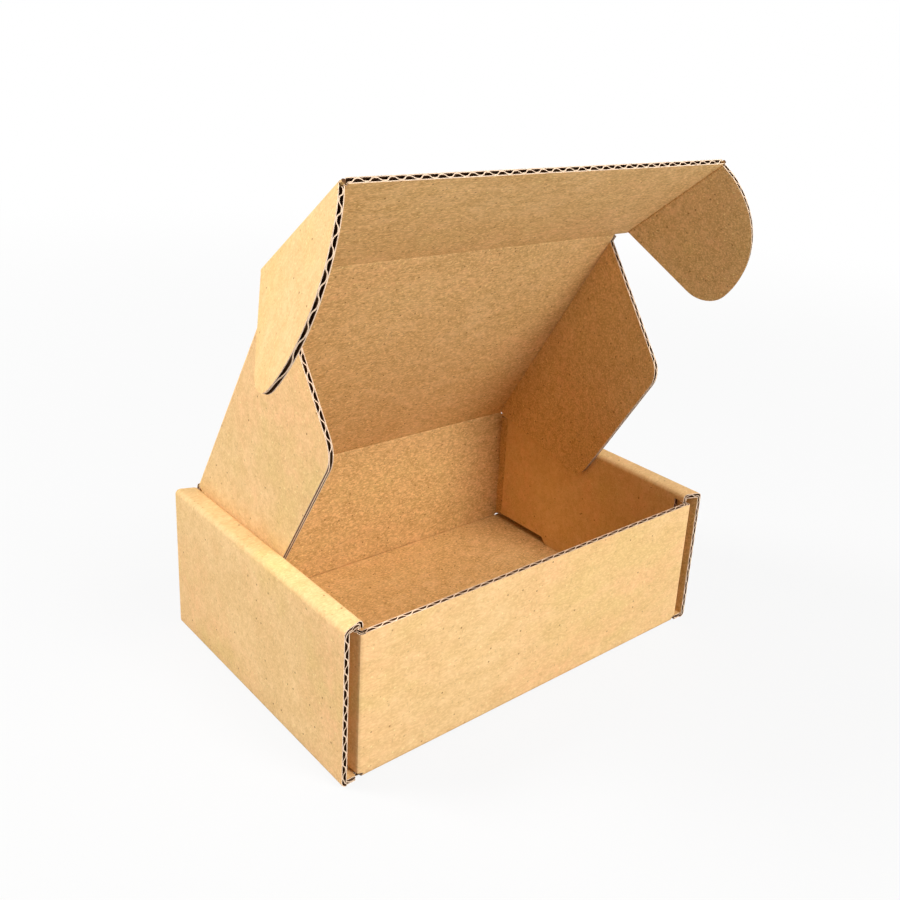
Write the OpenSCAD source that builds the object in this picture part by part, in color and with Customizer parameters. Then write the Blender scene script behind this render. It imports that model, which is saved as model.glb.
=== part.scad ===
// Roll-end tuck-front mailer box, die-cut from one sheet of single-wall corrugated
// board and folded by hand. The side walls roll over the end flaps of the front and
// back walls, and the lid stands half open with its tuck flap and ears unfolded.
// X runs along the front wall, Y towards the hinge, Z up. The origin is at the
// middle of the base's underside.

/* [Box] */
// Outer width over the rolled side walls
box_w = 190; // [150:1:260]
// Outer depth over the front and back walls
box_d = 128; // [110:1:200]
// Outer height of the rolled side walls
box_h = 64.5; // [50:0.5:90]
// Drop of the front wall's cut top edge below the rolled side walls
front_drop = 4.1; // [3:0.1:8]

/* [Board] */
// Thickness of the board
board_t = 2.2; // [1.8:0.1:2.6]
// Distance from one flute crest to the next
flute_pitch = 6.3; // [5:0.1:8]
// Thickness of a liner or of the fluting paper
paper_t = 0.3; // [0.2:0.05:0.35]
// How far a flute stands open behind a cut edge
flute_depth = 5; // [2:0.5:8]

/* [Folds] */
// Radius of the side walls' rolled top edges
roll_r = 1.8; // [1:0.1:1.8]
// Gap between two layers of board that lie on each other
layer_gap = 0.1; // [0.05:0.05:0.3]
// Play on each side of an ear in its corner slot
slot_play = 0.15; // [0.1:0.05:0.4]
// Play between the lid's side flaps and the inner side walls
lid_play = 0.15; // [0.1:0.05:0.5]
// Gap between the front wall and the tuck flap when the box is shut
tuck_gap = 0.3; // [0.2:0.1:1]
// Gap around the rounded bead of a crease
crease_gap = 0.15; // [0.1:0.05:0.2]

/* [Inner side walls] */
// Length of the lock tab in the middle of each inner side wall
tab_len = 44; // [20:1:60]
// Height of the relief beside the lock tab
relief_h = 3; // [1:0.5:5]
// Slope length of the relief's ends
relief_run = 2.5; // [1:0.5:5]
// Play around a lock tab in its slot
tab_play = 0.2; // [0.1:0.05:0.5]

/* [End flaps] */
// Length of the front and back walls' end flaps
end_len = 42; // [20:1:50]
// Rise of an end flap's lower edge near its fold
end_rise = 2.4; // [0:0.2:4]
// Corner radius of an end flap
end_r = 6; // [2:0.5:10]
// How far an end flap splays out from its fold
splay = 1.8; // [0.2:0.2:2]
// Length over which an end flap splays out
splay_run = 5; // [4:0.5:8]
// Outer radius of the fold between a wall and its end flap
fold_r = 1.2; // [0.6:0.1:1.7]

/* [Lid flaps] */
// Gap between the lid's side flaps and the base when the box is shut
side_gap = 1; // [0.5:0.5:20]
// Lean of a side flap's edge beside the hinge
side_lean_back = 17; // [5:1:25]
// Lean of a side flap's edge beside the tuck flap
side_lean_front = 23.5; // [5:0.5:30]
// Corner radius of a side flap
side_r = 11; // [4:0.5:15]
// Gap below the tuck flap when the box is shut
tuck_lift = 1.2; // [0.5:0.1:6]
// How far an ear reaches from its fold
ear_len = 50.5; // [30:0.5:52]
// Radius of an ear's round edge
ear_r = 50; // [42:1:52]
// Radius of an ear's tip
ear_tip_r = 12; // [4:0.5:14]
// Distance from the tuck fold to an ear's straight edge
ear_set = 2; // [1.5:0.1:4]
// Lean of an ear's straight edge
ear_lean = 4; // [3:0.5:8]

/* [Pose] */
// Opening of the lid from shut
lid_open = 58; // [20:1:100]
// Fold of the tuck flap from flat
tuck_fold = 20; // [0:1:60]
// Fold of the left ear from flat
ear_fold_left = 66; // [30:1:85]
// Fold of the right ear from flat
ear_fold_right = 60; // [30:1:85]

/* [Hidden] */

kraft = [0.80, 0.62, 0.40];
kraft_pale = [0.88, 0.74, 0.53];
half_w = box_w / 2;
half_d = box_d / 2;
half_t = board_t / 2;
front_h = box_h - front_drop;

// Layers of a side wall, as distances in from its outer face
slot_w = board_t + 2 * slot_play;
end_in = board_t + slot_w;
inner_in = end_in + board_t + layer_gap;
stack_w = inner_in + board_t;
flap_in = stack_w + lid_play;

// Inner faces of the end flaps and their folds, edges of the base's corner tabs, and the
// heights of the inner walls' relief and of the end flaps' lower edge
wall_half = half_w - end_in - board_t;
fold_half = wall_half - splay;
corner_in = end_in + 1.5;
tab_back = 0.5;
relief_z = board_t + relief_h;
flap_z = board_t + 0.3;

// Creases: the bead belongs to the piece that carries the flap
bead_r = half_t - crease_gap;
cup_r = bead_r + crease_gap;
v_gap = crease_gap * 1.4;
hinge_y = half_d - half_t;
hinge_z = box_h - half_t;
tuck_y = -half_d - tuck_gap - half_t;
lid_len = hinge_y - tuck_y;
lid_half = half_w - flap_in - board_t;
side_len = box_h - 2 * board_t - layer_gap - side_gap;
tuck_len = hinge_z - tuck_lift;
ear_x = half_w - board_t - slot_play - half_t;
ear_low = min(tuck_len, hinge_z - board_t - 0.3);

// Open cells of the board's section: half width in pitches, depth as a share
cell_half = 0.38;
cell_shape = [[-cell_half, 0], [-0.22, 0.5], [-0.09, 1], [0.09, 1], [0.22, 0.5], [cell_half, 0]];
cell_d = board_t - 3 * paper_t;

function arc(c, r, a0, a1, n) =
    [for (i = [0:n]) c + r * [cos(a0 + (a1 - a0) * i / n), sin(a0 + (a1 - a0) * i / n)]];
function unit(v) = v / norm(v);
function turn(a) = a > 180 ? a - 360 : a < -180 ? a + 360 : a;

// Points of a closed outline whose corners [x, y, radius] are rounded
function rounded(p, n = 8) = [for (i = [0:len(p) - 1])
    let (a = p[(i + len(p) - 1) % len(p)], b = p[i], c = p[(i + 1) % len(p)],
         q = [b.x, b.y], u = unit([a.x, a.y] - q), v = unit([c.x, c.y] - q),
         half = acos(u * v) / 2, o = q + unit(u + v) * b.z / sin(half),
         s = q + u * b.z / tan(half) - o, e = q + v * b.z / tan(half) - o,
         a0 = atan2(s.y, s.x), da = turn(atan2(e.y, e.x) - a0))
    each (b.z == 0 ? [q] : arc(o, b.z, a0, a0 + da, n))];

// Cells k = first to last along u, each half a pitch on, in board from v = 0 to board_t
module flute_cells(first, last, pitch = flute_pitch) {
    polygon(points = [for (k = [first:last]) for (q = cell_shape)
                [(k / 2 + q.x) * pitch,
                 k % 2 == 0 ? paper_t + q.y * cell_d : board_t - paper_t - q.y * cell_d]],
            paths = [for (k = [0:last - first]) [for (j = [0:5]) 6 * k + j]]);
}

// Lays an extrusion out along X, its flat outline being in Y and Z
module along_x(x0) {
    multmatrix([[0, 0, 1, x0], [1, 0, 0, 0], [0, 1, 0, 0], [0, 0, 0, 1]]) children();
}

// Lays an extrusion out towards -Y, its flat outline being in X and Z
module along_y(y0) {
    translate([0, y0, 0]) rotate([90, 0, 0]) children();
}

module both_sides() {
    children();
    mirror([1, 0, 0]) children();
}

module both_ends() {
    children();
    mirror([0, 1, 0]) children();
}

// Section across a crease where a flap begins, to be cut from the flap:
// u points along the flap, v to the outside of the fold
module crease_cut_2d(two_way) {
    polygon(concat([[-board_t, board_t]],
                   two_way ? [[board_t + v_gap, board_t]]
                           : [[crease_gap, board_t], [crease_gap, 0]],
                   [[v_gap, 0], [board_t + v_gap, -board_t], [-board_t, -board_t]]));
    circle(r = cup_r, $fn = 24);
}

// Section of the edge that carries a flap, with its bead
module crease_bead_2d(two_way) {
    polygon([[-board_t, half_t], [two_way ? -half_t : 0, half_t], [0, 0],
             [-half_t, -half_t], [-board_t, -half_t]]);
    circle(r = bead_r, $fn = 24);
}

// Turns the flap's section frame to a crease along X, with the flap towards -Y
module crease_on_x(y0, z0) {
    multmatrix([[0, 0, -1, 0], [-1, 0, 0, y0], [0, 1, 0, z0], [0, 0, 0, 1]]) children();
}

// The same for a crease along Y at the left end of the tuck flap
module crease_on_y(x0, z0) {
    multmatrix([[-1, 0, 0, x0], [0, 0, 1, 0], [0, 1, 0, z0], [0, 0, 0, 1]]) children();
}

// Half a section of the strip that makes the base and both side walls: the base's
// rounded corner, the outer wall, the rolled top and the inner wall that hangs from it
function rolled_half() = concat(
    arc([-half_w + board_t, board_t], board_t, 270, 180, 8),
    arc([-half_w + roll_r, box_h - roll_r], roll_r, 180, 90, 6),
    arc([-half_w + stack_w - roll_r, box_h - roll_r], roll_r, 90, 0, 6),
    [[-half_w + stack_w, relief_z], [-half_w + inner_in, relief_z],
     [-half_w + inner_in, box_h - board_t], [-half_w + board_t, box_h - board_t],
     [-half_w + board_t, board_t]]);

// Base and rolled side walls, bent from one strip, with open flutes at the corners
module rolled_strip() {
    left = rolled_half();
    difference() {
        along_y(half_d) linear_extrude(box_d) polygon(concat(
            left, [for (i = [len(left) - 1:-1:0]) [-left[i].x, left[i].y]]));
        both_ends() {
            base_end_cut();
            both_sides() {
                roll_end_cut();
                corner_flutes();
            }
        }
        both_sides() translate([-half_w + inner_in - tab_play, -tab_len / 2 - tab_play, -1])
            cube([board_t + 2 * tab_play, tab_len + 2 * tab_play, board_t + 2]);
    }
    both_sides() lock_tab();
}

// Takes the base back to the front wall's fold, with a short corner tab at each side
module base_end_cut() {
    corner_w = half_w - board_t - 0.2;
    translate([-corner_w, -half_d - 1, -1]) cube([2 * corner_w, 1 + tab_back, board_t + 1.5]);
    translate([-half_w + corner_in, -half_d - 1, -1])
        cube([box_w - 2 * corner_in, board_t + 1.2, board_t + 1.5]);
}

// Slants the left roll's end back and stops the inner wall short of the front wall
module roll_end_cut() {
    start = board_t + 0.1;
    translate([-half_w, -half_d, front_h + 0.4]) linear_extrude(box_h - front_h)
        polygon([[start, -1], [start, 0], [stack_w, board_t + 0.2],
                 [stack_w + 1, board_t + 0.2], [stack_w + 1, -1]]);
    translate([-half_w + inner_in - layer_gap / 2, -half_d - 1, board_t + 0.5])
        cube([board_t + 1, board_t + splay_run + 1.1, front_h - board_t + 0.3]);
}

// Open flutes in the end of the outer wall, the roll and the base's corner tab
module corner_flutes() {
    reach = flute_pitch * cell_half + 0.5;
    last = floor((box_h - 2 * board_t - reach) / flute_pitch * 2);
    multmatrix([[0, 1, 0, -half_w], [0, 0, 1, -half_d - 1], [1, 0, 0, board_t + 1],
                [0, 0, 0, 1]])
        linear_extrude(flute_depth + 1) flute_cells(1, last);
    along_y(-half_d + flute_depth) translate([-half_w + 0.6, box_h - board_t])
        linear_extrude(flute_depth + 1) flute_cells(1, 3, (stack_w - 1.2) / 2);
    along_y(-half_d + flute_depth) translate([-half_w + board_t, 0])
        linear_extrude(flute_depth + 1) flute_cells(1, 2, (corner_in - board_t) * 0.7);
}

// Lock tab in the middle of the left inner wall, which stands in its slot in the base
module lock_tab() {
    tab = tab_len / 2;
    wide = tab + relief_run;
    along_x(-half_w + inner_in) linear_extrude(board_t) polygon([
        [-wide, relief_z + 1], [-wide, relief_z], [-tab, board_t + layer_gap],
        [-tab, layer_gap], [tab, layer_gap], [tab, board_t + layer_gap],
        [wide, relief_z], [wide, relief_z + 1]]);
}

// Front wall with its two end flaps, one strip seen from above. The back wall is the
// same strip with a higher edge.
module end_strip(top, cells) {
    y0 = -half_d + board_t;
    tip = -half_d + end_len;
    left = concat([[-fold_half, y0], [-wall_half, y0 + splay_run], [-wall_half, tip],
                   [-wall_half - board_t, tip], [-wall_half - board_t, y0 + splay_run]],
                  arc([-fold_half - board_t + fold_r, -half_d + fold_r], fold_r, 180, 270, 8));
    difference() {
        translate([0, 0, flap_z]) linear_extrude(top - flap_z) polygon(concat(
            left, [for (i = [len(left) - 1:-1:0]) [-left[i].x, left[i].y]]));
        both_sides() end_flap_cut(y0);
        if (cells > 0) translate([0, -half_d, top - flute_depth])
            linear_extrude(flute_depth + 1) flute_cells(-cells, cells);
    }
    base_fold();
}

// What is cut from a strip's end to leave the outline of its end flap
module end_flap_cut(y0) {
    top = front_h - 0.3;
    tip = -half_d + end_len;
    along_x(-wall_half - board_t - 1) linear_extrude(board_t + splay + 2) difference() {
        translate([y0 + 0.5, 0]) square([end_len, box_h]);
        polygon(rounded([[y0, flap_z - 0.2, 0], [y0 + 6, flap_z + end_rise, 0],
                         [tip, flap_z + end_rise + 1.5, end_r], [tip, top - 2, end_r],
                         [y0, top, 0]]));
    }
    multmatrix([[0, 1, 0, -half_w + end_in], [-1, 0, 0, y0 + splay_run + flute_pitch * 1.5],
                [0, 0, 1, front_h - flute_depth], [0, 0, 0, 1]])
        linear_extrude(flute_depth + 1) flute_cells(1, 2);
}

// Fold between the base and the front wall
module base_fold() {
    y0 = -half_d + board_t;
    half = fold_half - 0.2;
    along_x(-half) linear_extrude(2 * half) polygon(concat(
        arc([y0, board_t], board_t, 270, 180, 8),
        [[-half_d, flap_z + 1], [y0, flap_z + 1], [y0, board_t],
         [y0 + 1, board_t], [y0 + 1, 0]]));
}

// Bead of the lid's crease, along the top of the back wall
module hinge_bead() {
    crease_half = half_w - flap_in - 0.3;
    multmatrix([[0, 0, -1, 0], [0, 1, 0, hinge_y], [1, 0, 0, hinge_z], [0, 0, 0, 1]])
        linear_extrude(2 * crease_half, center = true) crease_bead_2d(true);
}

module tray() color(kraft) {
    rolled_strip();
    end_strip(front_h, floor((fold_half / flute_pitch - cell_half) * 2));
    mirror([0, 1, 0]) end_strip(box_h - board_t - 0.3, 0);
    hinge_bead();
}

// Carries what is drawn with the lid shut to the lid's open pose
module on_lid() {
    translate([0, hinge_y, hinge_z]) rotate([-lid_open, 0, 0])
        translate([0, -hinge_y, -hinge_z]) children();
}

// Carries what is drawn with the tuck flap flat to its folded pose on the open lid
module on_tuck() {
    on_lid() translate([0, tuck_y, hinge_z]) rotate([tuck_fold, 0, 0])
        translate([0, -tuck_y, -hinge_z]) children();
}

module lid_panel() color(kraft) on_lid() {
    side_end = hinge_y - half_t - v_gap - 0.5;
    difference() {
        translate([-lid_half - board_t, tuck_y + board_t / 2, box_h - board_t])
            cube([2 * (lid_half + board_t), lid_len - board_t / 2, board_t]);
        crease_on_x(hinge_y, hinge_z)
            linear_extrude(box_w, center = true) crease_cut_2d(true);
        both_sides() along_y(side_end) linear_extrude(box_d * 1.5) difference() {
            translate([-lid_half - board_t - 1, box_h - board_t - 1])
                square([board_t + 1, board_t + 2]);
            translate([-lid_half, box_h - board_t]) circle(r = board_t, $fn = 48);
        }
        both_sides() translate([-lid_half - board_t - 1, side_end, box_h - board_t - 1])
            cube([board_t + 1, box_d, board_t + 2]);
    }
    crease_on_x(tuck_y, hinge_z)
        linear_extrude(2 * lid_half, center = true) crease_bead_2d(false);
}

// Left side flap of the lid, folded down square to it
module side_flap() {
    top = box_h - board_t - layer_gap;
    back = hinge_y - half_t - v_gap - 0.3;
    front = -half_d + board_t + 0.4;
    lean_b = tan(side_lean_back);
    lean_f = tan(side_lean_front);
    last = floor((side_len - side_r) / flute_pitch * 2);
    difference() {
        along_x(-lid_half - board_t) linear_extrude(board_t) polygon(rounded([
            [back, top, 0], [front, top, 0],
            [front + lean_f * side_len, top - side_len, side_r],
            [back - lean_b * side_len, top - side_len, side_r]]));
        for (k = [1:last]) {
            d = k * flute_pitch / 2;
            translate([-lid_half - board_t, front + lean_f * d + flute_depth, top - d])
                side_cell(k, flute_depth + board_t + 4);
            translate([-lid_half - board_t, back - lean_b * d + board_t + 4, top - d])
                side_cell(k, flute_depth + board_t + 4);
        }
    }
}

// One open flute of a side flap, running towards -Y
module side_cell(k, long) {
    rotate([90, 90, 0]) linear_extrude(long) translate([-k * flute_pitch / 2, 0])
        flute_cells(k, k);
}

module side_flap_left() color(kraft) on_lid() side_flap();
module side_flap_right() color(kraft) on_lid() mirror([1, 0, 0]) side_flap();

// Tuck flap, wider than the lid so that its ears reach the corner slots
module tuck_flap() color(kraft) on_tuck() {
    wide = ear_x - crease_gap;
    narrow = ear_x - half_t - 0.5;
    cells = floor((ear_x - 2) / flute_pitch * 2) - 1;
    difference() {
        union() {
            translate([-narrow, tuck_y - tuck_len, box_h - board_t])
                cube([2 * narrow, tuck_len, board_t]);
            translate([-wide, tuck_y - ear_set, box_h - board_t])
                cube([2 * wide, ear_set, board_t]);
            both_sides() crease_on_y(-ear_x, hinge_z)
                translate([0, 0, tuck_y - tuck_len])
                    linear_extrude(tuck_len - ear_set) crease_bead_2d(false);
        }
        crease_on_x(tuck_y, hinge_z)
            linear_extrude(box_w * 1.1, center = true) crease_cut_2d(false);
        along_y(tuck_y - tuck_len + flute_depth) translate([0, box_h - board_t, 0])
            linear_extrude(flute_depth + 1) flute_cells(-cells, cells);
    }
}

// Left ear, drawn flat: a straight upper edge, a tight tip and a long round edge
module ear_flat() {
    c = [ear_low - ear_r + 0.4, ear_len - ear_r];
    p = [ear_set, 0];
    along = [sin(ear_lean), cos(ear_lean)];
    inward = [cos(ear_lean), -sin(ear_lean)];
    q = p + inward * ear_tip_r - c;
    k = sqrt(pow(q * along, 2) - q * q + pow(ear_r - ear_tip_r, 2)) - q * along;
    f = p + inward * ear_tip_r + along * k;
    tip_a = atan2(f.y - c.y, f.x - c.x);
    end_a = max(acos((ear_low - c.x) / ear_r), asin((board_t - c.y) / ear_r));
    near = floor(k / flute_pitch * 2 - 0.6);
    far = floor((c.y + ear_r * sin(tip_a)) / flute_pitch * 2);
    translate([-ear_x, tuck_y, box_h - board_t]) difference() {
        rotate([0, 0, 90]) mirror([1, 0, 0]) linear_extrude(board_t)
            polygon(concat([p], arc(f, ear_tip_r, 180 - ear_lean, tip_a, 8),
                           arc(c, ear_r, tip_a, end_a, 24), [[ear_low, 0]]));
        crease_on_y(0, half_t) translate([0, 0, -tuck_len - 1])
            linear_extrude(tuck_len + 2) crease_cut_2d(false);
        for (i = [1:near]) {
            d = i * flute_pitch / 2;
            ear_cell(i, ear_set + d * tan(ear_lean) - 2, flute_depth + 2);
        }
        for (i = [1:far]) {
            d = i * flute_pitch / 2;
            s = min(ear_low, c.x + sqrt(ear_r * ear_r - pow(d - c.y, 2)));
            ear_cell(i, s - flute_depth, flute_depth + 6);
        }
    }
}

// One open flute of an ear, starting at the distance s from the tuck fold
module ear_cell(k, s, long) {
    translate([0, -s, 0]) rotate([90, 0, 0]) linear_extrude(long) mirror([1, 0])
        flute_cells(k, k);
}

module ear_left() color(kraft_pale) on_tuck()
    translate([-ear_x, 0, hinge_z]) rotate([0, -ear_fold_left, 0])
        translate([ear_x, 0, -hinge_z]) ear_flat();

module ear_right() color(kraft_pale) on_tuck()
    translate([ear_x, 0, hinge_z]) rotate([0, ear_fold_right, 0])
        translate([-ear_x, 0, -hinge_z]) mirror([1, 0, 0]) ear_flat();

tray();
lid_panel();
side_flap_left();
side_flap_right();
tuck_flap();
ear_left();
ear_right();
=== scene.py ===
"""Looks of the corrugated mailer box: the liners and the fluting between them at every cut
edge, the creases that bend, and the kraft paper."""

import math
import random

import bmesh
import bpy
from mathutils import Matrix, Vector, noise


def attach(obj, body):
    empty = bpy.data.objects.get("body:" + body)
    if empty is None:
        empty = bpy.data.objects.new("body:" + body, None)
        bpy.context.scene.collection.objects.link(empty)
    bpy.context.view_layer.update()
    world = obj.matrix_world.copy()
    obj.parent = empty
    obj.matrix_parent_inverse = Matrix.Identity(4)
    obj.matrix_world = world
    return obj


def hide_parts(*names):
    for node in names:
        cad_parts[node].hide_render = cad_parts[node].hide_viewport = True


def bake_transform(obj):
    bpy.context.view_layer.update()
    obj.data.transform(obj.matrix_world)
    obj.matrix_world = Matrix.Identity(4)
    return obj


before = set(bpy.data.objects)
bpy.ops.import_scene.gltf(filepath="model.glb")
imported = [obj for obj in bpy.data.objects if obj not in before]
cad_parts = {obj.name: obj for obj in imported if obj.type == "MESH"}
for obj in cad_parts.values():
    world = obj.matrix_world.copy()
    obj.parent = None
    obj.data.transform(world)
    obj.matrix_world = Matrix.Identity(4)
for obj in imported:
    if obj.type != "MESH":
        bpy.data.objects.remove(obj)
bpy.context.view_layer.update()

MM = 0.001

# Driving sizes in millimetres and degrees, the same as in the part's source
BOX_W, BOX_D, BOX_H = 190, 128, 64.5
FRONT_DROP = 4.1  # from the side walls' top to the front wall's
BOARD, PITCH = 2.2, 6.3  # thickness, and distance from flute to flute
LAYER_GAP = 0.1  # between two layers that lie on each other
SLOT_PLAY = 0.15  # on each side of an ear in its slot
LID_PLAY = 0.15  # between a side flap and the inner side wall
TUCK_GAP = 0.3  # between the front wall and the shut tuck flap
TAB_HALF, TAB_PLAY = 22, 0.2  # lock tab of an inner side wall
RELIEF_H, RELIEF_RUN = 3, 2.5  # cut-out beside the lock tab
END_LEN, END_R = 42, 6  # end flap of the front or back wall
END_RISE, END_RISE_RUN, END_TAPER = 2.4, 6, 1.5  # its lower edge
SPLAY, SPLAY_RUN = 1.8, 5  # how an end flap spreads out from its fold
CORNER_STEP, CORNER_BACK = 1.5, 0.5  # edges of the base's corner tabs
FOOT_GAP = 0.3  # between the base and the walls' cut lower edges
SIDE_GAP, SIDE_R = 1, 11  # side flaps of the lid
SIDE_LEAN_BACK, SIDE_LEAN_FRONT = 17, 23.5
TUCK_LIFT = 1.2  # below the tuck flap when the box is shut
EAR_LEN, EAR_R, EAR_TIP_R = 50.5, 50, 12
EAR_SET, EAR_LEAN = 2, 4  # the ear's straight edge beside the tuck fold
EAR_LIFT = 0.3  # above the base's corner tabs when the box is shut
LID_OPEN, TUCK_FOLD, EAR_LEFT, EAR_RIGHT = 58, 20, 66, 60

# Small steps of the cut edges
ROLL_SLANT, ROLL_BACK = 1, 0.2  # how the roll's ends run back from the ends of the box
ROLL_DROP, INNER_BACK = 1.4, 0.1  # where the inner wall below the roll is cut shorter
END_DROP, RISE_DROP, TIP_DROP = 0.3, 0.6, 2.3  # end flap's upper edge below the front wall's
BACK_DROP = 0.3  # back wall's upper corners below the lid
NECK_PLAY, FOLD_PLAY, TUCK_PLAY = 0.3, 0.2, 0.15  # ends of the hinge, base and tuck folds
SIDE_BACK, SIDE_FRONT = 0.7, 0.4  # side flap from the hinge's crease and the front wall
EAR_CUT = 0.4  # what the ear's cut side takes from its round edge

# Places that follow from them
HALF_W, HALF_D, HALF_T = BOX_W / 2, BOX_D / 2, BOARD / 2
FRONT_H = BOX_H - FRONT_DROP
END_IN = 2 * BOARD + 2 * SLOT_PLAY
INNER_IN = END_IN + BOARD + LAYER_GAP
STACK = INNER_IN + BOARD
WALL_HALF = HALF_W - END_IN - BOARD
FOLD_HALF = WALL_HALF - SPLAY
CORNER_IN = END_IN + CORNER_STEP
BASE_END = HALF_D - BOARD
RELIEF_Z = BOARD + RELIEF_H
FOOT_Z = BOARD + FOOT_GAP
BACK_H = BOX_H - BOARD - BACK_DROP
LID_UNDER = BOX_H - BOARD
HINGE_Y, HINGE_Z = HALF_D - HALF_T, BOX_H - HALF_T
NECK_HALF = HALF_W - STACK - LID_PLAY - NECK_PLAY
TUCK_Y = -HALF_D - TUCK_GAP - HALF_T
LID_LEN = HINGE_Y - TUCK_Y
LID_HALF = HALF_W - STACK - LID_PLAY - BOARD
SIDE_LEN = BOX_H - 2 * BOARD - LAYER_GAP - SIDE_GAP
TUCK_LEN = HINGE_Z - TUCK_LIFT
EAR_LOW = HINGE_Z - BOARD - EAR_LIFT
EAR_X = HALF_W - BOARD - SLOT_PLAY - HALF_T

# Papers of the board
LINER, MEDIUM = 0.34, 0.38  # thickness of a liner, and of the fluting's own paper
GLUE = 0.02  # the most that the fluting stands in a liner
FLUTE_ROUND = 0.3  # 1 is a plain wave, and less has steeper sides and flatter crests
WOBBLE = 0.05  # the most that a flute lies out of its place, in pitches
WOBBLE_RUN, WOBBLE_ROW = 9, 3.7  # spacing of such shifts, and the row of noise they come from
CRUSHED = 0.35  # share of their height that the flutes keep at a fold
CRUSH_RUN = 2.5  # distance from the fold over which that share grows by 1
LINER_STEP, FLUTE_STEP, FLUTE_RUN = 6, PITCH / 16, 15  # mesh sizes
TOUCHING = 1e-5  # points nearer to each other than this are one
OUTER, INNER, FLUTE_PAINTED_SHADE, CUT = 0, 1, 2, 3  # slots of the four papers; the fluting's slot, also on the liner faces inside the flutes and on bead ends, is painted dark as shade of the flute hollows
SHARP_EDGE = 0.6  # radians between two faces
paper_roll = random.Random(7)  # picks where on the roll each sheet is cut

# Creases
TURN = HALF_T * math.pi / 2  # a quarter turn, along the middle of the board
TURN_STEPS, CREASE_STEPS = 6, 14
LIP = 0.1  # flat start of a strip before its first turn
CREASE = 1.25  # half the width of a crease that moves
SCORE, SCORE_DEPTH, SCORE_WIDTH = 0.8, 0.45, 0.9  # pressed line of a fold along the base
PRESS_IN, PRESS_OUT, PRESS_WIDTH = 0.22, 0.12, 0.5  # pressed lines of a crease that moves
BEAD_R = 0.75


# Board

def arc(centre, radius, start, end, steps):
    return [centre + radius * Vector((math.cos(start + (end - start) * k / steps),
                                      math.sin(start + (end - start) * k / steps)))
            for k in range(steps + 1)]


def polygon(*corners):
    return [Vector(corner) for corner in corners]


def rectangle(a0, b0, a1, b1):
    return polygon((a0, b0), (a1, b0), (a1, b1), (a0, b1))


def rounded(corners, steps=6):
    """Outline through (a, b, radius) corners, the sharp ones with a radius of 0."""
    outline = []
    for i, (a, b, radius) in enumerate(corners):
        corner = Vector((a, b))
        if not radius:
            outline.append(corner)
            continue
        before = (Vector(corners[i - 1][:2]) - corner).normalized()
        after = (Vector(corners[(i + 1) % len(corners)][:2]) - corner).normalized()
        half = before.angle(after) / 2
        middle = corner + (before + after).normalized() * radius / math.sin(half)
        start = corner + before * radius / math.tan(half) - middle
        end = corner + after * radius / math.tan(half) - middle
        first = math.atan2(start.y, start.x)
        sweep = math.remainder(math.atan2(end.y, end.x) - first, 2 * math.pi)
        outline += arc(middle, radius, first, first + sweep, steps)
    return outline


def slice_flat(sheet, point, normal, clear=False):
    bmesh.ops.bisect_plane(sheet, geom=sheet.verts[:] + sheet.edges[:] + sheet.faces[:],
                           dist=TOUCHING, plane_co=point, plane_no=normal, clear_outer=clear)


def cut_sheet(outline, step_a, step_b, folds_a, folds_b):
    """Flat sheet cut to a convex outline that runs anticlockwise, with edge loops where it
    will bend."""
    sheet = bmesh.new()
    low = Vector((min(p.x for p in outline), min(p.y for p in outline)))
    size = Vector((max(p.x for p in outline), max(p.y for p in outline))) - low
    middle = low + size / 2
    bmesh.ops.create_grid(
        sheet, size=0.5,
        x_segments=max(1, round(size.x / step_a)), y_segments=max(1, round(size.y / step_b)),
        matrix=Matrix.Translation((middle.x, middle.y, 0)) @ Matrix.Diagonal((size.x, size.y, 1, 1)))
    for a in folds_a:
        slice_flat(sheet, (a, 0, 0), (1, 0, 0))
    for b in folds_b:
        slice_flat(sheet, (0, b, 0), (0, 1, 0))
    for p, q in zip(outline, outline[1:] + outline[:1]):
        slice_flat(sheet, (p.x, p.y, 0), (q.y - p.y, p.x - q.x, 0), clear=True)
    return sheet


def add_paper(board, sheet, height, thick, upper, lower, place):
    """Gives a sheet its height in the board and its thickness there, and puts it in place.
    Each comes from another place on the paper roll."""
    cut = Vector((PITCH * paper_roll.randrange(90), paper_roll.uniform(0, 500)))
    flat = sheet.loops.layers.uv.new("flat")
    for vert in sheet.verts:
        vert.co.z = height(vert.co.x, vert.co.y)
    for face in sheet.faces:
        face.material_index = lower
    under = set(sheet.faces)
    grown = bmesh.ops.extrude_face_region(sheet, geom=sheet.faces[:])["geom"]
    over = {part for part in grown if isinstance(part, bmesh.types.BMFace)}
    for part in grown:
        if isinstance(part, bmesh.types.BMVert):
            part.co.z += thick(part.co.x)
    for face in sheet.faces:
        if face in over:
            face.material_index = upper
        elif face not in under:
            face.material_index = CUT
        for loop in face.loops:
            loop[flat].uv = (loop.vert.co.xy + cut) * MM
    for vert in sheet.verts:
        vert.co = place(*vert.co)
    bmesh.ops.recalc_face_normals(sheet, faces=sheet.faces[:])
    mesh = bpy.data.meshes.new("paper")
    sheet.to_mesh(mesh)
    sheet.free()
    board.from_mesh(mesh)
    bpy.data.meshes.remove(mesh)


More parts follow.
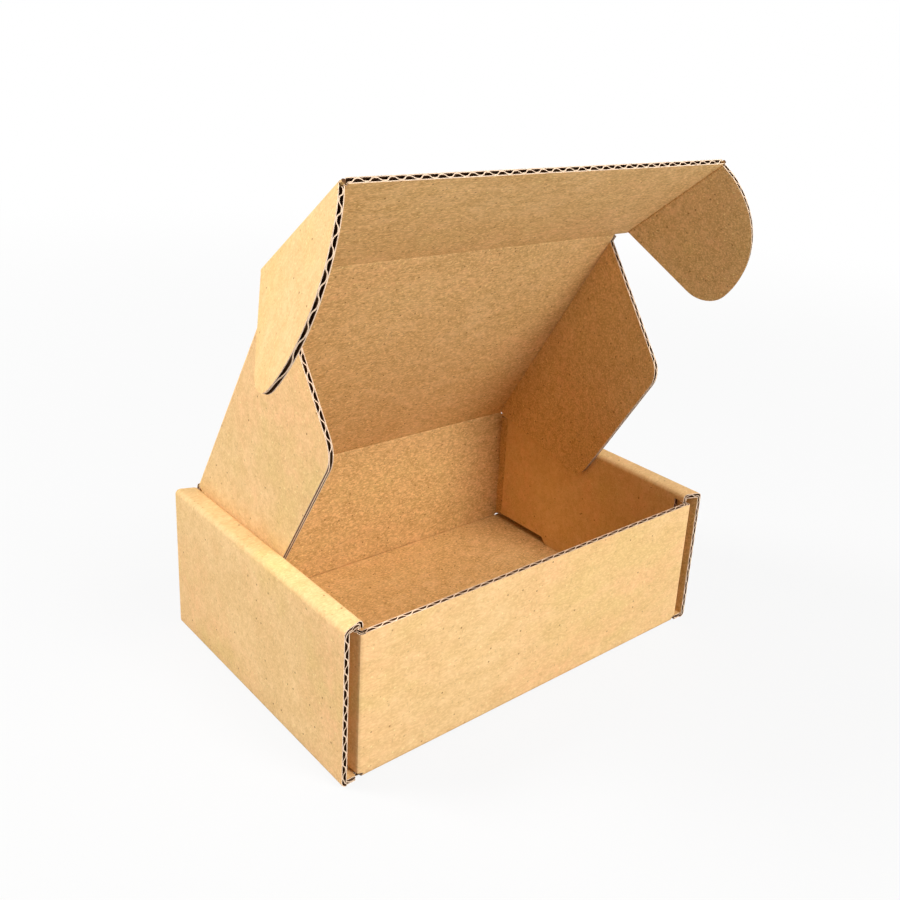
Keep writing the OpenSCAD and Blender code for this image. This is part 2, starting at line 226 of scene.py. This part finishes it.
def add_board(board, outline, place, folds_a=(), folds_b=(), shift=0.0):
    """Two liners and the fluting between them. a runs across the flutes, b along them,
    and n from the inner face to the outer one. Shift moves the flutes along a."""
    swing = (BOARD - 2 * LINER - MEDIUM) / 2

    def wave(a):
        wobble = WOBBLE * noise.noise(Vector((a / WOBBLE_RUN, 0, WOBBLE_ROW)))
        turn = math.tau * ((a + shift) / PITCH + wobble)
        crush = min([1.0] + [CRUSHED + abs(a - fold) / CRUSH_RUN for fold in folds_a])
        rise = math.sin(turn)
        return swing * crush * rise / math.sqrt(FLUTE_ROUND + (1 - FLUTE_ROUND) * rise * rise)

    def medium(a, near=0.05):
        slope = (wave(a + near) - wave(a - near)) / (2 * near)
        return MEDIUM * math.hypot(1, slope)

    def fluting(a, b):
        low, high = LINER - GLUE, BOARD - LINER + GLUE - medium(a)
        return min(high, max(low, HALF_T + wave(a) - medium(a) / 2))

    # Liner faces that look into the flutes take the fluting's near-black paper, painted shade of the
    # flute hollows.
    for height, upper, lower in ((0, FLUTE_PAINTED_SHADE, INNER), (BOARD - LINER, OUTER, FLUTE_PAINTED_SHADE)):
        sheet = cut_sheet(outline, LINER_STEP, LINER_STEP, folds_a, folds_b)
        add_paper(board, sheet, lambda a, b: height, lambda a: LINER, upper, lower, place)
    sheet = cut_sheet(outline, FLUTE_STEP, FLUTE_RUN, (), folds_b)
    add_paper(board, sheet, fluting, medium, FLUTE_PAINTED_SHADE, FLUTE_PAINTED_SHADE, place)


def bend(path, s, n, sharp=2):
    """Point of a board bent along a path of inner corners, always to the right.
    An outer corner is a quarter circle where sharp is 2, and squarer above that."""
    for i, (p, q) in enumerate(zip(path, path[1:])):
        run = Vector(q) - Vector(p)
        along = run.normalized()
        out = Vector((-along.y, along.x))
        if s <= run.length or i == len(path) - 2:
            return Vector(p) + along * s + out * n
        s -= run.length
        if s <= TURN:
            angle = s / TURN * math.pi / 2
            reach = (math.cos(angle) ** sharp + math.sin(angle) ** sharp) ** (-1 / sharp)
            return Vector(q) + Matrix.Rotation(-angle, 2) @ out * n * reach
        s -= TURN


def bend_loops(path):
    """Where a board bent along a path has its edge loops."""
    loops, s = [], 0
    for p, q in zip(path, path[1:-1]):
        s += (Vector(q) - Vector(p)).length
        loops += [s + TURN * k / TURN_STEPS for k in range(TURN_STEPS + 1)]
        s += TURN
    return loops


def add_bead(board, start, end):
    """Rounded bead of a crease, from end to end."""
    start, end = Vector(start), Vector(end)
    turn = (end - start).to_track_quat("Z", "Y").to_matrix().to_4x4()
    made = bmesh.ops.create_cone(board, cap_ends=True, segments=20, radius1=BEAD_R, radius2=BEAD_R,
                                 depth=(end - start).length,
                                 matrix=Matrix.Translation((start + end) / 2) @ turn)
    # The bead's end caps take the fluting's near-black paper, painted shade.
    for vert in made["verts"]:
        for face in vert.link_faces:
            face.material_index = INNER if len(face.verts) == 4 else FLUTE_PAINTED_SHADE


def bell(distance, width):
    """Depth of a pressed line, from 1 in its middle to nearly 0 two widths away."""
    return math.exp(-(distance / width) ** 2)


def add_skins(board, start, end, place):
    """The two liners of a crease, pressed in where the board bends."""
    for height, upper, lower in (
            (lambda a, b: PRESS_IN * bell(b, PRESS_WIDTH), FLUTE_PAINTED_SHADE, INNER),
            (lambda a, b: BOARD - LINER - PRESS_OUT * bell(b, PRESS_WIDTH), OUTER, FLUTE_PAINTED_SHADE)):
        sheet = cut_sheet(rectangle(start, -CREASE, end, CREASE),
                          LINER_STEP, 2 * CREASE / CREASE_STEPS, (), ())
        add_paper(board, sheet, height, lambda a: LINER, upper, lower, place)


def crease_turn(b, fold):
    """Degrees that a crease has turned at b across it, smoothly from board to board."""
    t = min(1, max(0, (b + CREASE) / (2 * CREASE)))
    return fold * t * t * (3 - 2 * t)


def about(point, angle, axis):
    """Turn by degrees about an axis through a point."""
    place = Matrix.Translation(point)
    return place @ Matrix.Rotation(math.radians(angle), 4, axis) @ place.inverted()


def flip(place, x=1, y=1):
    """The same place, mirrored to the box's other side where x or y is -1."""
    def flipped(a, b, n):
        point = place(a, b, n)
        return Vector((point.x * x, point.y * y, point.z))
    return flipped


def make_piece(name, board, turn):
    """Turns a board to its pose, in metres, and makes an object of it."""
    bmesh.ops.remove_doubles(board, verts=board.verts[:], dist=TOUCHING)
    bmesh.ops.transform(board, matrix=Matrix.Scale(MM, 4) @ turn, verts=board.verts[:])
    for face in board.faces:
        face.smooth = True
    for edge in board.edges:
        edge.smooth = len(edge.link_faces) == 2 and edge.calc_face_angle() < SHARP_EDGE
    mesh = bpy.data.meshes.new(name)
    board.to_mesh(mesh)
    board.free()
    for material in papers:
        mesh.materials.append(material)
    piece = bpy.data.objects.new(name, mesh)
    bpy.context.collection.objects.link(piece)
    return piece


def finish_board(name, board, turn, body, node):
    """A board that takes the place of its CAD node."""
    piece = make_piece(name, board, turn)
    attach(piece, body)
    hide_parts(node)


def finish_crease(name, start, end, place, turn):
    """A crease's liners, bent from one board to the next as the crease stands in this pose."""
    board = bmesh.new()
    add_skins(board, start, end, place)
    middle = (start + end) / 2
    piece = make_piece(name, board, turn)
    ends = [(turn @ place(middle, b, HALF_T)) * MM for b in (-CREASE, CREASE)]
    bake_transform(piece)


# Tray

def on_base(a, b, n):
    """a runs along the box's width, b along its depth."""
    return Vector((a, b, BOARD - n))


def on_front(a, b, n):
    """a runs along the box's width, b up."""
    return Vector((a, -BASE_END - n, b))


def add_side_wall(board, x):
    """Outer wall, rolled top, and inner wall with its lock tab, in one strip. a runs up the
    outer wall from the base's corner tab, over the roll and down inside, b along the wall."""
    path = [(-HALF_W + CORNER_IN, BOARD), (-HALF_W + BOARD, BOARD),
            (-HALF_W + BOARD, BOX_H - BOARD), (-HALF_W + INNER_IN, BOX_H - BOARD),
            (-HALF_W + INNER_IN, LAYER_GAP)]

    def wall(a, b, n):
        point = bend(path, a, n)
        return Vector((point.x, b, point.y))

    wall_low = CORNER_IN - BOARD
    wall_top = wall_low + TURN + BOX_H - 2 * BOARD
    slant = wall_top + ROLL_SLANT
    inner_top = wall_top + TURN + INNER_IN - BOARD + TURN
    seam = inner_top - TURN / 2
    roll_end = inner_top + ROLL_DROP
    relief = inner_top + BOX_H - BOARD - RELIEF_Z
    tab_low = relief + RELIEF_Z - BOARD - LAYER_GAP
    tab_end = inner_top + BOX_H - BOARD - LAYER_GAP
    tab_wide = TAB_HALF + RELIEF_RUN
    corner_half = HALF_D - CORNER_BACK
    roll_half = BASE_END - ROLL_BACK
    inner_half = BASE_END - SPLAY_RUN - INNER_BACK
    for outline in (
            rectangle(0, -corner_half, wall_low, corner_half),
            polygon((wall_low, -HALF_D), (slant, -HALF_D), (seam, -roll_half),
                    (seam, roll_half), (slant, HALF_D), (wall_low, HALF_D)),
            rectangle(seam, -roll_half, roll_end, roll_half),
            rectangle(roll_end, -inner_half, relief, inner_half),
            polygon((relief, -tab_wide), (tab_low, -TAB_HALF), (tab_low, TAB_HALF),
                    (relief, tab_wide)),
            rectangle(tab_low, -TAB_HALF, tab_end, TAB_HALF)):
        add_board(board, outline, flip(wall, x=-x), bend_loops(path))


def add_end_flap(board, x, y):
    """End flap of the front or back wall, round its fold and splayed out into the side wall.
    a runs from the fold along the side, b up."""
    path = [(-FOLD_HALF + LIP, -BASE_END), (-FOLD_HALF, -BASE_END),
            (-FOLD_HALF, -HALF_D + END_LEN)]
    splay_end = LIP + TURN + SPLAY_RUN

    def flap(a, b, n):
        point = bend(path, a, n, sharp=4)
        out = SPLAY * min(1, max(0, 1 - (splay_end - a) / SPLAY_RUN))
        return Vector((point.x - out, point.y, b))

    rise = LIP + TURN + END_RISE_RUN
    tip = LIP + TURN + END_LEN - BOARD
    rise_low, rise_top = FOOT_Z + END_RISE, FRONT_H - RISE_DROP
    tip_low, tip_top = rise_low + END_TAPER, FRONT_H - TIP_DROP
    place = flip(flap, x=-x, y=-y)
    add_board(board, polygon((LIP, FOOT_Z), (rise, rise_low), (rise, rise_top),
                             (LIP, FRONT_H - END_DROP)),
              place, bend_loops(path) + [splay_end])
    add_board(board, rounded([(rise, rise_low, 0), (tip, tip_low, END_R),
                              (tip, tip_top, END_R), (rise, rise_top, 0)]),
              place, shift=1.1)


def add_wall(board, y, top):
    """Front or back wall with its fold from the base."""
    fold_run = 1
    path = [(-BASE_END + fold_run, BOARD), (-BASE_END, BOARD), (-BASE_END, FOOT_Z)]

    def fold(a, b, n):
        pressed = SCORE_DEPTH * bell(b - fold_run - TURN / 2, SCORE_WIDTH)
        point = bend(path, b, n + pressed * (1 - n / BOARD))
        return Vector((a, point.x, point.y))

    half = FOLD_HALF - FOLD_PLAY
    add_board(board, rectangle(-FOLD_HALF, FOOT_Z, FOLD_HALF, top), flip(on_front, y=y))
    add_board(board, rectangle(-half, fold_run - SCORE, half, fold_run + TURN + FOOT_GAP),
              flip(fold, y=y), folds_b=bend_loops(path))


def tray():
    """Base with its slots for the lock tabs, the four walls round it, and the hinge."""
    board = bmesh.new()
    inner = HALF_W - STACK - TAB_PLAY
    outer = HALF_W - INNER_IN + TAB_PLAY
    corner = HALF_W - CORNER_IN
    slot = TAB_HALF + TAB_PLAY
    score = BASE_END - SCORE
    add_board(board, rectangle(-inner, -score, inner, score), on_base)
    for x in (-1, 1):
        add_side_wall(board, x)
        add_board(board, rectangle(outer, -slot, corner, slot), flip(on_base, x=x))
        for y in (-1, 1):
            place = flip(on_base, x=x, y=y)
            add_board(board, rectangle(inner, slot, corner, score), place)
            add_board(board, rectangle(FOLD_HALF - FOLD_PLAY, score, corner, BASE_END), place)
            add_end_flap(board, x, y)
    add_wall(board, 1, FRONT_H)
    add_wall(board, -1, BACK_H)
    add_board(board, rectangle(-NECK_HALF, BACK_H, NECK_HALF, HINGE_Z - CREASE),
              flip(on_front, y=-1))
    add_bead(board, (-NECK_HALF, HINGE_Y, HINGE_Z), (NECK_HALF, HINGE_Y, HINGE_Z))
    finish_board("tray_board", board, Matrix(), "tray", "tray")

    def hinge(a, b, n):
        point = Vector((a, HINGE_Y + n - HALF_T, HINGE_Z + b))
        return about((a, HINGE_Y, HINGE_Z), crease_turn(b, 90 - LID_OPEN), "X") @ point

    finish_crease("hinge_crease", -NECK_HALF, NECK_HALF, hinge, Matrix())


# Lid, tuck flap and their flaps, drawn with the box shut

on_lid = about((0, HINGE_Y, HINGE_Z), -LID_OPEN, "X")
on_tuck = on_lid @ about((0, TUCK_Y, HINGE_Z), TUCK_FOLD, "X")


def lid():
    """a runs along the hinge, b forwards from it."""
    board = bmesh.new()

    def panel(a, b, n):
        return Vector((a, HINGE_Y - b, LID_UNDER + n))

    path = [(LID_HALF - LIP, LID_UNDER), (LID_HALF, LID_UNDER), (LID_HALF, LID_UNDER - LIP / 2)]

    def edge(a, b, n):
        point = bend(path, a, n)
        return Vector((point.x, HINGE_Y - b, point.y))

    add_board(board, rectangle(-LID_HALF, CREASE, LID_HALF, LID_LEN - CREASE), panel)
    for x in (-1, 1):
        add_board(board, rectangle(LIP, CREASE + SIDE_BACK, LIP + TURN, LID_LEN - HALF_T),
                  flip(edge, x=x), bend_loops(path))
    add_bead(board, (-LID_HALF, TUCK_Y, HINGE_Z), (LID_HALF, TUCK_Y, HINGE_Z))
    finish_board("lid_board", board, on_lid, "lid", "lid_panel")

    def crease(a, b, n):
        point = Vector((a, TUCK_Y - b, LID_UNDER + n))
        return about((a, TUCK_Y, HINGE_Z), crease_turn(b, TUCK_FOLD), "X") @ point

    finish_crease("tuck_crease", -LID_HALF, LID_HALF, crease, on_lid)


def side_flap(x, name, body, node):
    """a runs down from the lid, b forwards from the hinge."""
    board = bmesh.new()

    def panel(a, b, n):
        return Vector((x * (LID_HALF + n), HINGE_Y - b, LID_UNDER - LAYER_GAP - a))

    back = CREASE + SIDE_BACK
    front = HINGE_Y + BASE_END - SIDE_FRONT
    lean_back = math.tan(math.radians(SIDE_LEAN_BACK)) * SIDE_LEN
    lean_front = math.tan(math.radians(SIDE_LEAN_FRONT)) * SIDE_LEN
    add_board(board, rounded([(0, back, 0), (SIDE_LEN, back + lean_back, SIDE_R),
                              (SIDE_LEN, front - lean_front, SIDE_R), (0, front, 0)]),
              panel, shift=0.8)
    finish_board(name, board, on_lid, body, node)


def tuck():
    """a runs along the tuck fold, b down from it."""
    board = bmesh.new()

    def panel(a, b, n):
        return Vector((a, TUCK_Y - b, LID_UNDER + n))

    half, top_half = EAR_X - CREASE, EAR_X - TUCK_PLAY
    add_board(board, rectangle(-half, EAR_SET, half, TUCK_LEN), panel)
    add_board(board, rectangle(-top_half, CREASE, top_half, EAR_SET), panel)
    for x in (-EAR_X, EAR_X):
        add_bead(board, (x, TUCK_Y - EAR_SET, HINGE_Z), (x, TUCK_Y - TUCK_LEN, HINGE_Z))
    finish_board("tuck_board", board, on_tuck, "tuck", "tuck_flap")


def ear_outline():
    """Straight leaning edge, tight tip, and one round edge down to the ear's cut side."""
    lean = math.radians(EAR_LEAN)
    middle = Vector((EAR_LEN - EAR_R, EAR_LOW - EAR_R + EAR_CUT))
    along = Vector((math.cos(lean), math.sin(lean)))
    inward = Vector((-math.sin(lean), math.cos(lean)))
    tip = Vector((0, EAR_SET)) + inward * EAR_TIP_R
    gap = tip - middle
    reach = math.sqrt(gap.dot(along) ** 2 - gap.length_squared + (EAR_R - EAR_TIP_R) ** 2)
    tip += along * (reach - gap.dot(along))
    turn = math.atan2(tip.y - middle.y, tip.x - middle.x)
    last = math.asin((EAR_LOW - middle.y) / EAR_R)
    return (polygon((CREASE, EAR_SET + CREASE * math.tan(lean)))
            + arc(tip, EAR_TIP_R, lean - math.pi / 2, turn, 10)
            + arc(middle, EAR_R, turn, last, 20)[1:] + polygon((CREASE, EAR_LOW)))


def ear(x, fold, body, node):
    """a runs out from the ear's fold, b along the fold from the tuck fold."""
    board = bmesh.new()

    def panel(a, b, n):
        return Vector((x * (EAR_X + a), TUCK_Y - b, LID_UNDER + n))

    add_board(board, ear_outline(), panel, shift=2.0)
    turned = on_tuck @ about((x * EAR_X, 0, HINGE_Z), x * fold, "Y")
    finish_board(f"{body}_board", board, turned, body, node)

    def crease(a, b, n):
        return about((x * EAR_X, TUCK_Y - a, HINGE_Z), x * crease_turn(b, fold), "Y") @ panel(b, a, n)

    finish_crease(f"{body}_crease", EAR_SET, EAR_LOW, crease, on_tuck)


# Kraft paper

class Finish:
    """A material, with short names for adding and linking its nodes."""

    def __init__(self, name):
        self.material = bpy.data.materials.new(name)
        self.material.use_nodes = True
        self.nodes = self.material.node_tree.nodes
        self.skin = self.nodes["Principled BSDF"]
        self.place = self.add("TexCoord").outputs["Object"]

    def add(self, kind, **values):
        node = self.nodes.new("ShaderNode" + kind)
        for key, value in values.items():
            setattr(node, key, value)
        return node

    def feed(self, socket, value):
        if isinstance(value, bpy.types.NodeSocket):
            self.material.node_tree.links.new(value, socket)
        else:
            socket.default_value = value

    def noise(self, scale, detail=3, rough=0.55, place=None):
        node = self.add("TexNoise")
        for key, value in (("Vector", place or self.place), ("Scale", scale),
                           ("Detail", detail), ("Roughness", rough)):
            self.feed(node.inputs[key], value)
        return node.outputs["Fac"]

    def ramp(self, value, low, high, start=0.0, end=1.0, shape="LINEAR"):
        node = self.add("MapRange", interpolation_type=shape)
        for key, fed in (("Value", value), ("From Min", low), ("From Max", high),
                         ("To Min", start), ("To Max", end)):
            self.feed(node.inputs[key], fed)
        return node.outputs["Result"]

    def times(self, a, b):
        node = self.add("Math", operation="MULTIPLY")
        self.feed(node.inputs[0], a)
        self.feed(node.inputs[1], b)
        return node.outputs[0]

    def mix(self, factor, a, b):
        node = self.add("Mix", data_type="RGBA")
        for socket, value in ((node.inputs[0], factor), (node.inputs[6], a), (node.inputs[7], b)):
            self.feed(socket, value)
        return node.outputs[2]

    def on_roll(self):
        """Place on the paper roll that a sheet was cut from, in metres."""
        return self.add("UVMap", uv_map="flat").outputs["UV"]

    def specks(self, scale, size, share, length=1, turn=0):
        """Flecks in the sheet: size is a share of their spacing, share the part of cells that
        has one, and length and turn draw them out into fibres."""
        cells = self.add("TexVoronoi", voronoi_dimensions="2D")
        drawn = self.add("Mapping", vector_type="TEXTURE")
        self.feed(drawn.inputs["Vector"], self.on_roll())
        self.feed(drawn.inputs["Rotation"], (0, 0, turn))
        self.feed(drawn.inputs["Scale"], (length, 1, 1))
        self.feed(cells.inputs["Vector"], drawn.outputs["Vector"])
        self.feed(cells.inputs["Scale"], scale)
        dot = self.ramp(cells.outputs["Distance"], size, size * 0.5)
        split = self.add("SeparateColor")
        self.feed(split.inputs["Color"], cells.outputs["Color"])
        return self.times(dot, self.ramp(split.outputs["Red"], 1 - share, 1 - share * 0.3))

    def surface(self, color, roughness, shine):
        self.feed(self.skin.inputs["Base Color"], color)
        self.feed(self.skin.inputs["Roughness"], roughness)
        self.feed(self.skin.inputs["Specular IOR Level"], shine)


def kraft(name, pale, brown, depth):
    """Liner: cloudy pulp, fine grain combed across the box, dark fibres drawn out four ways, and
    flecks. Depth is the strength of the grain, the fibres and the flecks."""
    paper = Finish(name)

    def shade(red, green=None, blue=None):
        green, blue = green or red, blue or red
        return tuple(min(1, c * k) for c, k in zip(brown, (red, green, blue))) + (1,)

    comb = paper.add("Mapping")
    paper.feed(comb.inputs["Vector"], paper.place)
    paper.feed(comb.inputs["Scale"], (0.5, 1, 1))
    color = paper.mix(paper.ramp(paper.noise(40, 4), 0.38, 0.62), shade(1), (*pale, 1))
    for scale, low, high, share, tone in (
            (14, 0.42, 0.60, 0.9, shade(1.08, 0.95, 0.97)),
            (19, 0.50, 0.64, 0.9, shade(0.94, 0.98, 0.84)),
            (95, 0.42, 0.62, 0.45 * depth, shade(0.86, 0.8, 0.68)),
            (240, 0.42, 0.62, 0.6 * depth, shade(0.8, 0.74, 0.62)),
            (460, 0.44, 0.60, 0.4 * depth, shade(0.72, 0.64, 0.5)),
            (1300, 0.46, 0.62, 0.6 * depth, shade(1.3, 1.34, 1.4))):
        grain = paper.noise(scale, 4, 0.7, comb.outputs["Vector"])
        color = paper.mix(paper.ramp(grain, low, high, 0, share), color, tone)
    for turn in (0.15, 0.9, 1.7, 2.6):
        fibres = paper.times(paper.specks(330, 0.09, 0.4, 4, turn), 0.4 * depth)
        color = paper.mix(fibres, color, shade(0.45, 0.4, 0.34))
    for scale, size, share, strength, tone in (
            (130, 0.065, 0.45 * depth, 0.85, shade(0.34, 0.22, 0.13)),
            (300, 0.1, 0.4 * depth, 0.6, shade(0.5, 0.38, 0.25)),
            (200, 0.085, 0.6, 0.6 * depth, shade(1.7))):
        flecks = paper.times(paper.specks(scale, size, share), strength)
        color = paper.mix(flecks, color, tone)
    paper.surface(color, 0.8, 0.2)
    add_washboard(paper)
    return paper.material


def add_washboard(paper):
    """Flutes that show faintly under a liner, with the paper's own fine tooth. Blender's wave
    texture repeats every tau / 20 at a scale of 1."""
    flutes = paper.add("TexWave", wave_type="BANDS", bands_direction="X")
    paper.feed(flutes.inputs["Vector"], paper.on_roll())
    paper.feed(flutes.inputs["Scale"], 1000 / PITCH / 20 * math.tau)
    height = paper.add("Math", operation="MULTIPLY_ADD")
    paper.feed(height.inputs[0], flutes.outputs["Fac"])
    paper.feed(height.inputs[1], 0.35)
    paper.feed(height.inputs[2], paper.noise(900, 4, 0.7))
    bump = paper.add("Bump")
    paper.feed(bump.inputs["Strength"], 0.3)
    paper.feed(bump.inputs["Distance"], 0.0002)
    paper.feed(bump.inputs["Height"], height.outputs[0])
    paper.feed(paper.skin.inputs["Normal"], bump.outputs["Normal"])


def raw_paper(name, pale, brown, scale):
    """Mottled paper: the fluting, dark as painted shade of the flute hollows over its own brown, or
    the torn fibres of a cut edge.
    """
    paper = Finish(name)
    mottle = paper.ramp(paper.noise(scale, 3, 0.7), 0.35, 0.65)
    paper.surface(paper.mix(mottle, (*brown, 1), (*pale, 1)), 0.95, 0.1)
    return paper.material


papers = (
    kraft("outer_liner", (0.86, 0.58, 0.285), (0.80, 0.53, 0.25), 0.65),
    kraft("inner_liner", (0.80, 0.525, 0.24), (0.72, 0.46, 0.195), 1.35),
    # The fluting's near-black colours are painted shade of the hollows between the flutes, over the
    # fluting paper's own brown.
    raw_paper("fluting", (0.17, 0.08, 0.035), (0.10, 0.045, 0.02), 300),
    raw_paper("cut_edge", (0.86, 0.66, 0.48), (0.68, 0.48, 0.33), 1400),
)


# Studio

# The photograph's side, and its lens's focal length and middle, in pixels
PHOTO_PIXELS, FOCAL_PIXELS, LENS_MIDDLE = 900, 1006.2, (504.6, 382.9)
EYE = (-0.25507, -0.30446, 0.25547)  # metres
VIEW_TURN, VIEW_DOWN, VIEW_ROLL = -42.972, 19.369, 4.199  # degrees


def camera():
    """The photograph's view: place, direction, roll, lens and the framing's shift."""
    data = bpy.data.cameras.new("camera")
    eye = bpy.data.objects.new("camera", data)
    bpy.context.collection.objects.link(eye)
    turn = (Matrix.Rotation(math.radians(VIEW_TURN), 4, "Z")
            @ Matrix.Rotation(math.radians(90 - VIEW_DOWN), 4, "X")
            @ Matrix.Rotation(math.radians(VIEW_ROLL), 4, "Z"))
    eye.matrix_world = Matrix.Translation(EYE) @ turn
    data.sensor_width = 36
    data.lens = FOCAL_PIXELS / PHOTO_PIXELS * data.sensor_width
    data.shift_x = 0.5 - LENS_MIDDLE[0] / PHOTO_PIXELS
    data.shift_y = LENS_MIDDLE[1] / PHOTO_PIXELS - 0.5
    data.clip_start = 0.01
    bpy.context.scene.camera = eye


def backdrop():
    """White to the camera, and a faint even light on the box."""
    world = bpy.data.worlds.new("studio")
    bpy.context.scene.world = world
    world.use_nodes = True
    nodes, links = world.node_tree.nodes, world.node_tree.links
    sky = nodes["Background"]
    path = nodes.new("ShaderNodeLightPath")
    strength = nodes.new("ShaderNodeMapRange")
    strength.inputs["To Min"].default_value = 0.12
    strength.inputs["To Max"].default_value = 1.0
    links.new(path.outputs["Is Camera Ray"], strength.inputs["Value"])
    links.new(strength.outputs["Result"], sky.inputs["Strength"])
    sky.inputs["Color"].default_value = (1, 1, 1, 1)


def lay_floor():
    """Pale floor that holds the box's shadow and fades to plain white away from it."""
    disk = bmesh.new()
    bmesh.ops.create_circle(disk, cap_ends=True, segments=64, radius=6)
    mesh = bpy.data.meshes.new("floor")
    disk.to_mesh(mesh)
    disk.free()
    floor = bpy.data.objects.new("floor", mesh)
    bpy.context.collection.objects.link(floor)
    pale = Finish("floor")
    pale.feed(pale.skin.inputs["Base Color"], (0.5, 0.5, 0.5, 1))
    pale.feed(pale.skin.inputs["Roughness"], 0.9)
    near, far = 0.25, 1.1  # metres from the box's middle
    reach = pale.add("VectorMath", operation="LENGTH")
    pale.feed(reach.inputs[0], pale.place)
    fade = pale.ramp(reach.outputs["Value"], near, far, 0.88, 1, "SMOOTHSTEP")
    path = pale.add("LightPath")
    blend = pale.add("MixShader")
    pale.feed(blend.inputs["Fac"], pale.times(fade, path.outputs["Is Camera Ray"]))
    pale.feed(blend.inputs[1], pale.skin.outputs["BSDF"])
    pale.feed(blend.inputs[2], pale.add("Emission").outputs["Emission"])
    pale.feed(pale.nodes["Material Output"].inputs["Surface"], blend.outputs["Shader"])
    mesh.materials.append(pale.material)


def lamp(name, place, aim_z, size, power):
    """Soft round lamp, aimed at a height above the middle of the box. Its place, the height
    and its size are in metres, its power in watts."""
    data = bpy.data.lights.new(name, "AREA")
    data.shape = "DISK"
    data.size = size
    data.energy = power
    soft = bpy.data.objects.new(name, data)
    bpy.context.collection.objects.link(soft)
    soft.location = place
    aim = Vector((0, 0, aim_z)) - Vector(place)
    soft.rotation_euler = aim.to_track_quat("-Z", "Y").to_euler()


def studio():
    bpy.context.scene.view_settings.view_transform = "Standard"
    backdrop()
    lay_floor()
    lamp("back_left", (-0.74, 0.62, 1.05), 0.1, 0.5, 19.5)
    lamp("front_right", (0.4, -1.2, 0.55), 0.05, 0.7, 8.3)
    lamp("front_high", (0.15, -0.78, 1.08), 0.05, 0.5, 10.6)
    lamp("left", (-1.15, 0.2, 0.75), 0.05, 0.8, 2.5)
    lamp("right", (1.2, -0.7, 0.35), 0.05, 0.7, 2)


tray()
lid()
side_flap(-1, "left_side_board", "left_side_flap", "side_flap_left")
side_flap(1, "right_side_board", "right_side_flap", "side_flap_right")
tuck()
ear(-1, EAR_LEFT, "left_ear", "ear_left")
ear(1, EAR_RIGHT, "right_ear", "ear_right")
camera()
studio()
